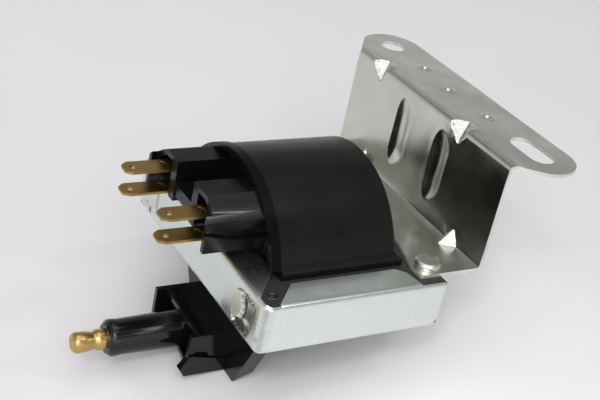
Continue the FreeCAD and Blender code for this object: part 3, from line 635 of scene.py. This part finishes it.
def bracket_surface(s, y):
    """Visible face of the bracket: s runs from the base up the wall and out along the flange."""
    s = np.asarray(s, float)
    y = np.asarray(y, float)
    low = chamfer_reach(s, y, LOW_FOLD_R, BASE_DARTS)
    high = chamfer_reach(s - WALL_H, y, HIGH_FOLD_R, TOP_DARTS)
    x_dir = np.array((1.0, 0.0))
    z_dir = np.array((0.0, 1.0))
    low_corner = np.array((WALL_X, BASE_TOP))
    high_corner = np.array((WALL_X, FLANGE_TOP))
    pos = np.zeros((len(s), 2))
    base = s <= -low
    pos[base] = low_corner + x_dir * s[base][:, None]
    wall = (s > -low) & (s < WALL_H - high)
    pos[wall] = low_corner + z_dir * s[wall][:, None]
    flange = s >= WALL_H + high
    pos[flange] = high_corner + x_dir * (s[flange] - WALL_H)[:, None]
    bend = np.abs(s) < low
    pos[bend] = folded(s[bend], low_corner, x_dir, z_dir, low[bend], LOW_FOLD_R)
    bend = np.abs(s - WALL_H) < high
    pos[bend] = folded(s[bend] - WALL_H, high_corner, z_dir, x_dir, high[bend], HIGH_FOLD_R)
    x, z = pos[:, 0].copy(), pos[:, 1].copy()
    on_wall = smoothstep(2, 5, s) * (1 - smoothstep(WALL_H - 5, WALL_H - 2, s))
    for centre, z0, z1 in RIBS:
        across = np.clip((y - centre) / RIB_R, -1, 1)
        skewed = y - centre - RIB_SKEW * RIB_R * (1 - across ** 2)
        beyond = (z - np.clip(z, z0 + RIB_RUN, z1 - RIB_RUN)) * RIB_R / (RIB_R + RIB_RUN)
        gap = np.hypot(skewed, beyond)
        depth = RIB_DEPTH * (1 - 0.3 * smoothstep(z1 - 4.5, z1 + 1.5, z))
        x += depth * np.clip(1 - (gap / RIB_R) ** 2, 0, 1) * on_wall
        x -= 0.10 * np.exp(-((gap - RIB_R - 0.6) / 0.7) ** 2) * on_wall
    x += 0.10 * np.sin(y * 0.16 + 0.8) * np.sin(z * 0.11 + 0.3) * on_wall
    on_flange = smoothstep(WALL_H + 2, WALL_H + 5, s)
    for cx, cy in FLANGE_DIMPLES:
        gap = np.hypot(x - cx, y - cy)
        z += on_flange * (0.16 * np.exp(-((gap - 1.6) / 0.5) ** 2) - 0.7 * np.exp(-(gap / 1.1) ** 2))
    z += 0.06 * np.sin(y * 0.13) * np.cos(x * 0.2) * on_flange
    return np.stack([x, y, z], 1)


def bracket_loops():
    """Flat pattern of the bracket with its hole, slot and rivet holes, in (s, y)."""
    far_step = 61.0
    ear_angle = 128.5
    ear_x = HOLE_X - WALL_X + WALL_H
    base = [(WALL_H - 1.0, WALL_FAR_Y), (far_step + 2 - WALL_X, WALL_FAR_Y),
            (far_step - WALL_X, WALL_FAR_Y - 2.7),
            (53.0 - WALL_X, WALL_FAR_Y - 2.7), (53.0 - WALL_X, 33.0), (56.5 - WALL_X, 20.0),
            (56.5 - WALL_X, -20.0), (53.0 - WALL_X, -33.0), (53.0 - WALL_X, WALL_NEAR_Y),
            (WALL_H - 0.5, WALL_NEAR_Y)]
    base = rounded(base, 0.9)
    near = [(WALL_H + 2.6, WALL_NEAR_Y - 0.3)]
    near += arc(ear_x, SLOT_Y[0], EAR_R, -ear_angle, 0, 26)
    far = arc(ear_x, HOLE_Y, EAR_R, 0, ear_angle, 26)
    far += [(WALL_H + 0.5, WALL_FAR_Y + 0.4)]
    outline = subdivide(base + near + far, 0.9)
    hole = arc(ear_x, HOLE_Y, HOLE_R, 0, 345, 40)[:-1]
    slot = arc(ear_x, SLOT_Y[0], HOLE_R, 180, 360, 20) + arc(ear_x, SLOT_Y[1], HOLE_R, 0, 180, 20)
    slot = subdivide(slot, 0.9)
    rivets = [arc(x - WALL_X, y, 1.9, 0, 330, 12) for x, y in RIVETS]
    return [outline, subdivide(hole, 0.9), slot] + rivets


def mounting_bracket():
    """The folded bracket as one skin of sheet steel."""
    folds = [f + r * k for f, r in ((0.0, LOW_FOLD_R), (WALL_H, HIGH_FOLD_R))
             for k in (-1, -0.66, -0.33, 0, 0.33, 0.66, 1)]
    plain = [v for v in np.arange(-20.4, WALL_H + 24.6, 1.5) if min(abs(v), abs(v - WALL_H)) > 2.6]
    coarse = grid(sorted(plain + folds), np.arange(-46, 57, 1.35))
    patches = []
    for centre, half, size, skew in TOP_DARTS:
        side = half + skew + 1
        patches.append((WALL_H - size - 2, WALL_H + size + 2, centre - side, centre + side, 0.4))
    for centre, half, size, skew in BASE_DARTS:
        patches.append((-size - 2, size + 2, centre - half - 1, centre + half + 1, 0.4))
    for centre, z0, z1 in RIBS:
        patches.append((z0 - BASE_TOP - 4.2, z1 - BASE_TOP + 4.2, centre - 4.2, centre + 4.2, 0.45))
    for cx, cy in FLANGE_DIMPLES:
        s = cx - WALL_X + WALL_H
        patches.append((s - 2.4, s + 2.4, cy - 2.4, cy + 2.4, 0.35))
    points, faces = sheet(bracket_loops(), coarse, patches, bracket_surface, STEEL)
    return piece("bracket_sheet", points, faces, "mounting_bracket", ZINC_BRACKET,
                 bevel=0.14, sharp=24, angle=60, cut_edge=ZINC_EDGE)


mounting_bracket()


# ---- core shroud ----------------------------------------------------------------------------

CORNER_R = 3.0
FOLD_R = 1.5
NEAR_RUN = FRAME_X - CORNER_R
CORNER_RUN = CORNER_R * math.pi / 2
LEFT_RUN = 2 * (FRAME_HALF_Y - CORNER_R)
WALL_FLAT = FRAME_HALF_Z - FOLD_R
FOLD_RUN = FOLD_R * math.pi / 2
TOTAL_RUN = 2 * (NEAR_RUN + CORNER_RUN) + LEFT_RUN
LEFT_MIDDLE = NEAR_RUN + CORNER_RUN - (-FRAME_HALF_Y + CORNER_R)
NEAR_LIP = 9.2
LEFT_LIP = 9.6
CLINCH = [(-26.5, 4.0), (-25.2, 0.1), (-25.1, -3.2), (-26.7, -6.9), (-32.1, -7.0), (-36.0, -6.0),
          (-38.1, 0.3), (-37.9, 3.1), (-35.4, 5.3), (-32.2, 5.5), (-28.6, 5.1)]
TONGUE = [(-22.0, 6.5), (-22.0, -5.6), (-27.5, -5.6), (-29.6, -4.0), (-30.9, -0.6), (-29.9, 1.3),
          (-29.0, 4.3), (-29.0, 6.5)]
CLINCH_CURL = (-34.7, 4.5)
FAR_DENT = [(28.5, 2.0), (33.0, 2.6), (37.5, 0.5), (38.5, -4.5), (35.0, -6.0), (30.0, -4.8)]
LIP_DROP = 0.45


def perimeter(u):
    """Point and outward direction on the shroud's outer face, seen from above."""
    u = np.asarray(u, float)
    x = np.zeros_like(u)
    y = np.zeros_like(u)
    nx = np.zeros_like(u)
    ny = np.zeros_like(u)
    ends = np.cumsum([NEAR_RUN, CORNER_RUN, LEFT_RUN, CORNER_RUN])
    near = u <= ends[0]
    x[near], y[near], ny[near] = FRAME_X - u[near], -FRAME_HALF_Y, -1.0
    turn = (u > ends[0]) & (u <= ends[1])
    a = (u[turn] - ends[0]) / CORNER_R
    nx[turn], ny[turn] = -np.sin(a), -np.cos(a)
    x[turn], y[turn] = CORNER_R + CORNER_R * nx[turn], -FRAME_HALF_Y + CORNER_R + CORNER_R * ny[turn]
    left = (u > ends[1]) & (u <= ends[2])
    y[left], nx[left] = u[left] - ends[1] - FRAME_HALF_Y + CORNER_R, -1.0
    turn = (u > ends[2]) & (u <= ends[3])
    a = (u[turn] - ends[2]) / CORNER_R
    nx[turn], ny[turn] = -np.cos(a), np.sin(a)
    x[turn], y[turn] = CORNER_R + CORNER_R * nx[turn], FRAME_HALF_Y - CORNER_R + CORNER_R * ny[turn]
    far = u > ends[3]
    x[far], y[far], ny[far] = CORNER_R + u[far] - ends[3], FRAME_HALF_Y, 1.0
    return x, y, nx, ny


def clinched(y, z):
    """How far the left wall is pressed in: the near clinch with its tongue, and the dent at the far end."""
    yz = np.stack([y, z], 1)
    tongue = 0.03 + 0.09 * np.clip(-25.4 - y, 0, 6)
    hollow = 1.0 - 0.85 * smoothstep(31.0, 38.0, -y) + 0.15 * smoothstep(-4.0, -6.0, z)
    hollow = hollow + 0.12 * np.sin(y * 6.1 + z * 4.7) * smoothstep(2.2, 4.0, z)
    ridge = np.exp(-((z + 3.5 + 0.25 * (y + 33)) / 0.55) ** 2) * np.exp(-((y + 32.9) / 2.0) ** 2)
    hollow = hollow - 0.5 * ridge * (0.75 + 0.25 * np.cos((y + 32.9) * 2.9))
    side = np.where(inside(yz, [TONGUE]), 1.0, -1.0) * edge_distance(yz, [TONGUE])
    share = smoothstep(-0.5, 0.9, side)
    gap = edge_distance(yz, [CLINCH])
    depth = tongue * share + hollow * (1 - share)
    push = np.where(inside(yz, [CLINCH]), depth * smoothstep(0.0, 0.5, gap), 0.0)
    curl = np.hypot(y - CLINCH_CURL[0], (z - CLINCH_CURL[1]) * 1.5)
    push -= 0.7 * np.exp(-(curl / 0.5) ** 2)
    gap = edge_distance(yz, [FAR_DENT])
    grain = 0.12 * np.sin(y * 5.1 + z * 3.7) + 0.10 * np.sin(y * 8.3 - z * 6.1)
    push += np.where(inside(yz, [FAR_DENT]), 0.8 * (1 - np.exp(-gap / 1.1)) * (1 + grain), 0.0)
    return push


def shroud_surface(u, v):
    """Outer face of the channel: u round the perimeter, v from the bottom lip to the top lip."""
    x, y, nx, ny = perimeter(u)
    side = np.sign(v)
    over = np.abs(v) - WALL_FLAT
    angle = np.clip(over / FOLD_R, 0, math.pi / 2)
    inward = FOLD_R * (1 - np.cos(angle)) + np.maximum(over - FOLD_RUN, 0)
    z = np.where(over > 0, side * (WALL_FLAT + FOLD_R * np.sin(angle)), v)
    on_left = nx < -0.99
    push = np.zeros_like(z)
    flat_left = on_left & (over < 0)
    push[flat_left] = clinched(y[flat_left], z[flat_left])
    push += 0.05 * np.sin(u * 0.21) * np.cos(v * 0.35) * (np.abs(v) < WALL_FLAT)
    lean = LIP_DROP * ny ** 4 * side
    z = z - lean * smoothstep(WALL_FLAT - 2.5, WALL_FLAT + FOLD_RUN, np.abs(v))
    z = z + lean * np.clip((over - FOLD_RUN) / (NEAR_LIP - FOLD_R), 0, 1)
    inward = inward + push
    return np.stack([x - nx * inward, y - ny * inward, z], 1)


def shroud_outline():
    """Flat pattern of the shroud: walls, and lips cut on a slant beside the corners."""
    lip_v = WALL_FLAT + FOLD_RUN + NEAR_LIP - FOLD_R
    left_v = WALL_FLAT + FOLD_RUN + LEFT_LIP - FOLD_R
    edge_v = FRAME_HALF_Z
    near = [(0.0, edge_v), (8.0, edge_v), (8.6, edge_v + 1.6), (9.8, lip_v - 2.2), (12.6, lip_v),
            (FRAME_X - 12.4, lip_v), (FRAME_X - 5.2, edge_v + 0.9), (FRAME_X - 5.0, edge_v)]
    left = [(LEFT_MIDDLE - 36.4, edge_v), (LEFT_MIDDLE - 36.2, edge_v + 0.9), (LEFT_MIDDLE - 26.6, left_v)]
    half = near + left
    top = half + [(TOTAL_RUN - u, v) for u, v in half[::-1]]
    bottom = [(u, -v) for u, v in top[::-1]]
    foot = 4.4
    near_foot = [(foot, -edge_v)] + [(u, -v) for u, v in arc(foot, edge_v - foot, foot, 90, 180, 8)[1:]]
    bottom = [(u, v) for u, v in bottom if foot < u < TOTAL_RUN - foot]
    far_foot = [(TOTAL_RUN - u, v) for u, v in near_foot[::-1]]
    return [subdivide(top + far_foot + bottom + near_foot, 1.0)]


def core_shroud():
    """The plated channel round three sides of the core."""
    us = np.arange(1.5, TOTAL_RUN, 1.5)
    fold_rows = [side * (WALL_FLAT + FOLD_RUN * k) for side in (-1, 1) for k in (0, 0.25, 0.5, 0.75, 1)]
    rows = list(np.arange(-6.3, 6.4, 1.4)) + fold_rows
    rows += [side * r for side in (-1, 1) for r in np.arange(10.1, 18, 1.5)]
    coarse = grid(us, sorted(rows))
    patches = [(LEFT_MIDDLE - 40.2, LEFT_MIDDLE - 22.0, -6.9, 6.9, 0.3),
               (LEFT_MIDDLE + 26.0, LEFT_MIDDLE + 39.3, -6.9, 6.9, 0.5),
               (NEAR_RUN, NEAR_RUN + CORNER_RUN, -6.9, 6.9, 0.5)]
    points, faces = sheet(shroud_outline(), coarse, patches, shroud_surface, STEEL, flip=True)
    return piece("shroud_sheet", points, faces, "core_shroud", ZINC_SHROUD,
                 bevel=0.16, sharp=40, angle=60, cut_edge=ZINC_EDGE)


core_shroud()


# ---- blades, terminal and the other pieces --------------------------------------------------

BLADE_HALF = 3.15
BLADE_THICK = 0.8
BLADE_TIP = -20.0
BLADE_HOLE_X = BLADE_TIP + 3.0
BLADE_HOLE_R = 0.95
EMBOSS_X = -8.6


def blade(node, y_mid, z_mid):
    """Flat tab: bevelled tip, locking hole and the embossed crescent near the hood."""
    back = 10.0
    outline = [(BLADE_TIP, -1.75), (BLADE_TIP + 2.0, -BLADE_HALF), (back, -BLADE_HALF), (back, BLADE_HALF),
               (BLADE_TIP + 2.0, BLADE_HALF), (BLADE_TIP, 1.75)]
    loops = [subdivide(rounded(outline, 0.5, closed=True), 0.6),
             arc(BLADE_HOLE_X, 0, BLADE_HOLE_R, 0, 342, 20)]

    def surface(x, y):
        tip = 1 - smoothstep(0.0, 1.2, x - BLADE_TIP)
        z = np.full_like(x, z_mid + BLADE_THICK / 2) - 0.16 * tip
        ring = np.hypot(x - EMBOSS_X, y)
        crescent = np.exp(-((ring - 1.9) / 0.42) ** 2) * smoothstep(-0.2, 0.8, x - EMBOSS_X)
        z = z - 0.22 * crescent
        return np.stack([x, y + y_mid, z], 1)

    coarse = grid(np.arange(BLADE_TIP + 0.5, back, 0.55), np.arange(-2.7, 2.8, 0.45))
    patches = [(-10.0, -5.5, -2.9, 2.9, 0.25)]
    points, faces = sheet(loops, coarse, patches, surface, BLADE_THICK)
    return piece(node + "_tab", points, faces, node, BLADE_BRASS, bevel=0.10, angle=60)


for blade_side, blade_y in (("far", 12.9), ("near", -12.9)):
    blade("blade_" + blade_side + "_upper", blade_y, 20.9)
    blade("blade_" + blade_side + "_lower", blade_y, 13.9)


TERMINAL_LO, TERMINAL_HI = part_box("ht_terminal")
TOWER_Z = ((TERMINAL_LO.z + TERMINAL_HI.z) / 2 - AXES[2]) / MM
BEAD_END_X = -20.0
BEAD_R = 6.0
SLIM_R = 5.5


def ht_terminal():
    """Turned brass plug with a rounded nose, a waist and a collar."""
    tip = (TERMINAL_LO.x - AXES[0]) / MM
    radius = 3.1
    profile = [(tip, 0.0), (tip, 2.3), (tip + 0.25, 2.65), (tip + 0.7, 2.95), (tip + 1.2, radius),
               (tip + 2.6, radius), (tip + 3.8, 3.02), (tip + 4.8, 2.85), (tip + 5.6, 2.65),
               (tip + 6.1, 2.55),
               (tip + 6.5, 2.6), (tip + 6.9, 2.85), (tip + 7.3, 3.05), (tip + 7.9, radius),
               (tip + 9.4, radius), (tip + 10.0, 3.0), (tip + 10.0, 0.0)]
    points, faces = lathe(profile, 72, TOWER_Z)
    return piece("ht_plug", points, faces, "ht_terminal", TERMINAL_BRASS, sharp=50)


def slim_lip(point):
    """The bead round the tower's end stands only a little proud of the tower."""
    x, y, z = point
    radius = math.hypot(y, z - TOWER_Z)
    if x > BEAD_END_X or not SLIM_R < radius < BEAD_R:
        return point
    return np.array((x, y * SLIM_R / radius, TOWER_Z + (z - TOWER_Z) * SLIM_R / radius))


def stack_pins():
    """Pressed pins at the left corners of the laminations: a low ring round a dimple on each face."""
    profile = [(0.0, 7.2), (0.3, 7.15), (0.6, 6.95), (0.9, 7.0), (1.2, 7.2), (1.5, 7.24), (1.8, 7.15),
               (1.9, 7.05)]
    half = [(z, r) for r, z in profile]
    run = half + [(-z, r) for z, r in half[::-1]]
    all_points = []
    all_faces = []
    for side in (-1, 1):
        points, faces = lathe(run, 40)
        turned = np.stack([5.2 + points[:, 1], side * 36.0 + points[:, 2], points[:, 0]], 1)
        offset = 0 if side < 0 else len(points)
        all_points.append(turned)
        all_faces += [tuple(i + offset for i in f) for f in faces]
    piece("pin_dimples", np.concatenate(all_points), all_faces, "stack_pins", PIN_STEEL,
          sharp=60)


ht_terminal()
stack_pins()
refined("coil_case", "case_shell", CASE_BLACK, 0.25)
# The cover's cap rim gets the darker copy of its black as painted shade.
refined("connector_cover", "cover_moulding", HOOD_BLACK, 0.22, sharp=20, angle=24,
        rim=CAP_SHADED_BLACK)
refined("ht_housing", "ht_moulding", HT_BLACK, 0.22, reshape=slim_lip)
refined("bracket_rivets", "rivet_heads", ZINC_RIVET, 0.1)


# ---- floor, light and camera ----------------------------------------------------------------

REST_A = (12.8, -35.2)
REST_B = (49.8, -30.0)
FLOOR_MIDDLE_X = 30.0
FLOOR_REACH = 150.0


def floor_height(x):
    """The floor slopes 8 degrees under the object, to touch its block and its case, and flattens out."""
    slope = (REST_B[1] - REST_A[1]) / (REST_B[0] - REST_A[0])
    z_mid = REST_A[1] + slope * (FLOOR_MIDDLE_X - REST_A[0])
    d = x - FLOOR_MIDDLE_X
    return z_mid + slope * FLOOR_REACH * np.tanh(d / FLOOR_REACH)


def make_floor():
    """Plain pale floor, with a pool of painted light round the object."""
    xs = np.concatenate([np.linspace(-4000, -400, 10), np.linspace(-380, 440, 83),
                         np.linspace(460, 4000, 10)])
    ys = [-4000.0, -400.0, 0.0, 400.0, 4000.0]
    verts = [(x, y, floor_height(x)) for x in xs for y in ys]
    n = len(ys)
    faces = [(i * n + j, (i + 1) * n + j, (i + 1) * n + j + 1, i * n + j + 1)
             for i in range(len(xs) - 1) for j in range(n - 1)]
    mesh = bpy.data.meshes.new("floor")
    mesh.from_pydata([tuple(p) for p in to_frame(verts)], [], faces)
    mesh.polygons.foreach_set("use_smooth", [True] * len(mesh.polygons))
    obj = bpy.data.objects.new("floor", mesh)
    bpy.context.scene.collection.objects.link(obj)
    r = Recipe("floor_paper", Specular_IOR_Level=0.2, Roughness=0.7)
    paper = r.mix(r.spread(r.noise(6, 3, 0.5), 0.3, 0.7), (0.735, 0.72, 0.735), (0.705, 0.69, 0.705))
    # Painted light: the floor's colour is brighter near the object's front.
    r.colour(r.mix(r.near((45.0, -40.0, -33.0), 115.0), paper, (0.88, 0.865, 0.88)))
    mesh.materials.append(r.material)


def look_at(obj, target):
    """Turn a light so that it shines at a point."""
    direction = Vector(target) - obj.location
    obj.rotation_euler = direction.to_track_quat("-Z", "Y").to_euler()


def area_light(name, direction, distance, width, height, power):
    """Soft box in a direction from the object's middle."""
    data = bpy.data.lights.new(name, "AREA")
    data.shape = "RECTANGLE"
    data.size = width
    data.size_y = height
    data.energy = power
    obj = bpy.data.objects.new(name, data)
    bpy.context.scene.collection.objects.link(obj)
    target = Vector(to_frame((30, 0, 0)))
    obj.location = target + Vector(direction).normalized() * distance
    look_at(obj, target)


SKY = [(0.0, 0.60), (0.375, 0.62), (0.40, 0.46), (0.425, 0.12), (0.52, 0.13), (0.56, 0.74),
       (0.61, 0.74), (0.65, 0.15), (0.80, 0.18), (0.91, 1.1), (1.0, 1.7)]
FRONT = (-0.57, -0.82, 0.0)


def make_world():
    """Studio surround: bright and dark bands by height, fitted to the picture, and stronger towards FRONT."""
    world = bpy.data.worlds.new("studio")
    bpy.context.scene.world = world
    world.use_nodes = True
    tree = world.node_tree
    background = tree.nodes["Background"]
    where = tree.nodes.new("ShaderNodeTexCoord")
    split = tree.nodes.new("ShaderNodeSeparateXYZ")
    ramp = tree.nodes.new("ShaderNodeValToRGB")
    tree.links.new(where.outputs["Generated"], split.inputs[0])
    tree.links.new(split.outputs["Z"], ramp.inputs["Fac"])
    elements = ramp.color_ramp.elements
    elements[0].position, elements[1].position = SKY[0][0], SKY[-1][0]
    for position, _ in SKY[1:-1]:
        elements.new(position)
    for element, (position, value) in zip(elements, SKY):
        element.position = position
        element.color = (value, value, value * 1.01, 1.0)
    toward = tree.nodes.new("ShaderNodeVectorMath")
    toward.operation = "DOT_PRODUCT"
    toward.inputs[1].default_value = FRONT
    tree.links.new(where.outputs["Generated"], toward.inputs[0])
    front = tree.nodes.new("ShaderNodeMapRange")
    for key, value in (("From Min", 0.35), ("From Max", 0.95), ("To Min", 1.0), ("To Max", 3.0)):
        front.inputs[key].default_value = value
    tree.links.new(toward.outputs["Value"], front.inputs["Value"])
    bright = tree.nodes.new("ShaderNodeVectorMath")
    bright.operation = "SCALE"
    tree.links.new(ramp.outputs["Color"], bright.inputs[0])
    tree.links.new(front.outputs["Result"], bright.inputs["Scale"])
    tree.links.new(bright.outputs["Vector"], background.inputs["Color"])
    background.inputs["Strength"].default_value = 1.0


def make_camera():
    """Camera at the viewing angle of the picture."""
    data = bpy.data.cameras.new("camera")
    data.sensor_width = 36.0
    data.lens = 68.75
    data.clip_start = 0.01
    data.clip_end = 20.0
    obj = bpy.data.objects.new("camera", data)
    bpy.context.scene.collection.objects.link(obj)
    right = Vector((0.85756, -0.47628, 0.19429))
    down = Vector((-0.08197, -0.49942, -0.86247))
    forward = Vector((0.50781, 0.72370, -0.46732))
    turn = Matrix((right, -down, -forward)).transposed().to_4x4()
    turn.translation = Vector(to_frame((-141.50, -247.99, 173.33)))
    obj.matrix_world = turn
    bpy.context.scene.camera = obj


make_floor()
make_world()
make_camera()
area_light("key", (-0.52, -0.51, 0.67), 1.3, 0.12, 0.12, 1.7)
area_light("front_box", (-0.40, -0.66, 0.64), 1.5, 1.1, 0.9, 10.5)
area_light("lamp", (0.34, -0.36, 0.86), 1.3, 0.12, 0.12, 1.2)
bpy.context.scene.view_settings.view_transform = "Standard"
